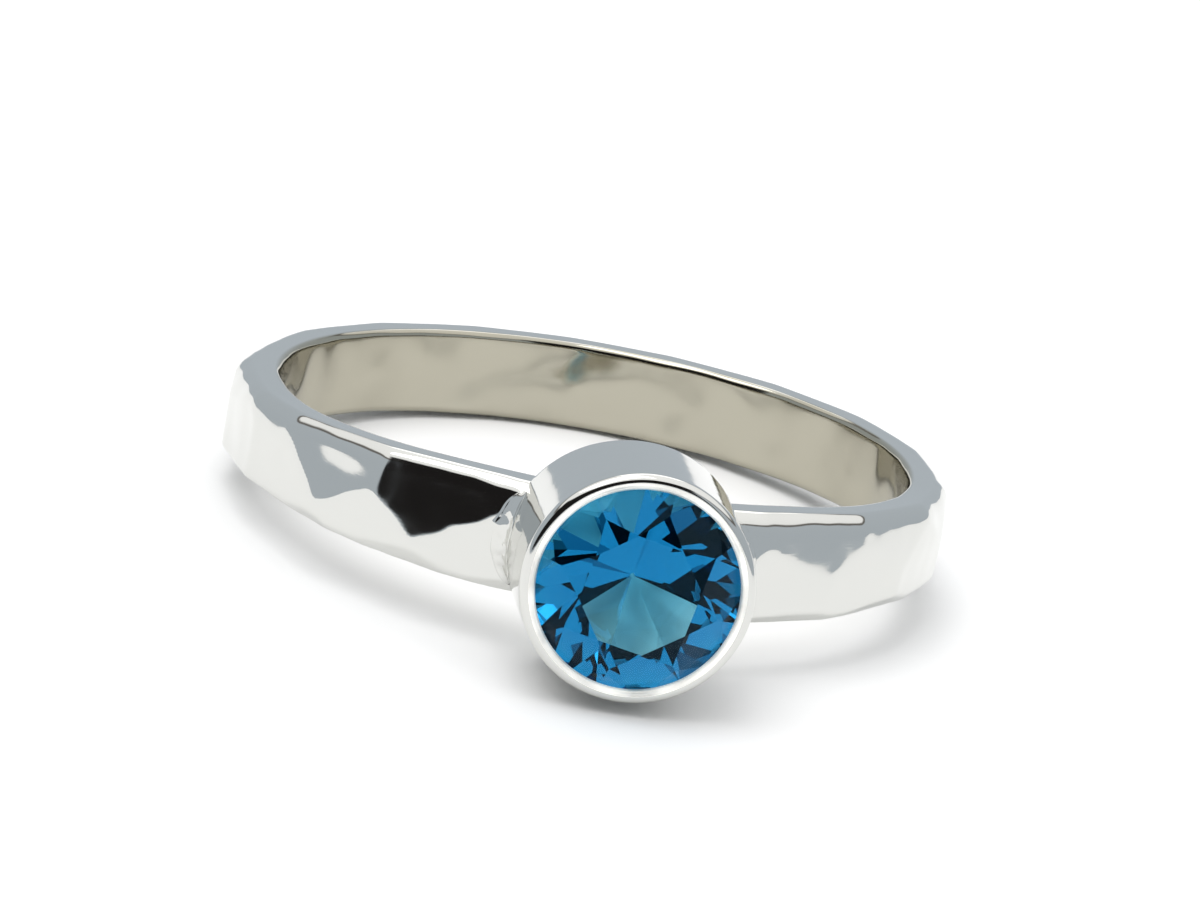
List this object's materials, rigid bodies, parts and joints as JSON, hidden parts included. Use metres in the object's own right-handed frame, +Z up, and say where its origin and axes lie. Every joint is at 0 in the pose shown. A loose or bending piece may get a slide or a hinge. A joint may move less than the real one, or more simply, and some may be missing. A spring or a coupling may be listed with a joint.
{
  "type": "stackable ring",
  "caption": "Hammered silver stacking ring lying on its side, with a round faceted blue stone held in a tube bezel soldered to the band.",
  "frame": {"origin": "on the resting surface, below the middle of the bounding box", "axes": "+Z up from the surface that the ring lies on, -Y towards the stone, +X to the right as seen from the stone's front"},
  "size_m": [0.0208, 0.0246, 0.0069],
  "materials": {
    "silver": "polished sterling silver with planished hammer marks",
    "stone": "polished round brilliant, deep blue"
  },
  "bodies": {
    "root": {"band_and_bezel": "silver", "blue_stone": "stone"}
  },
  "joints": []
}
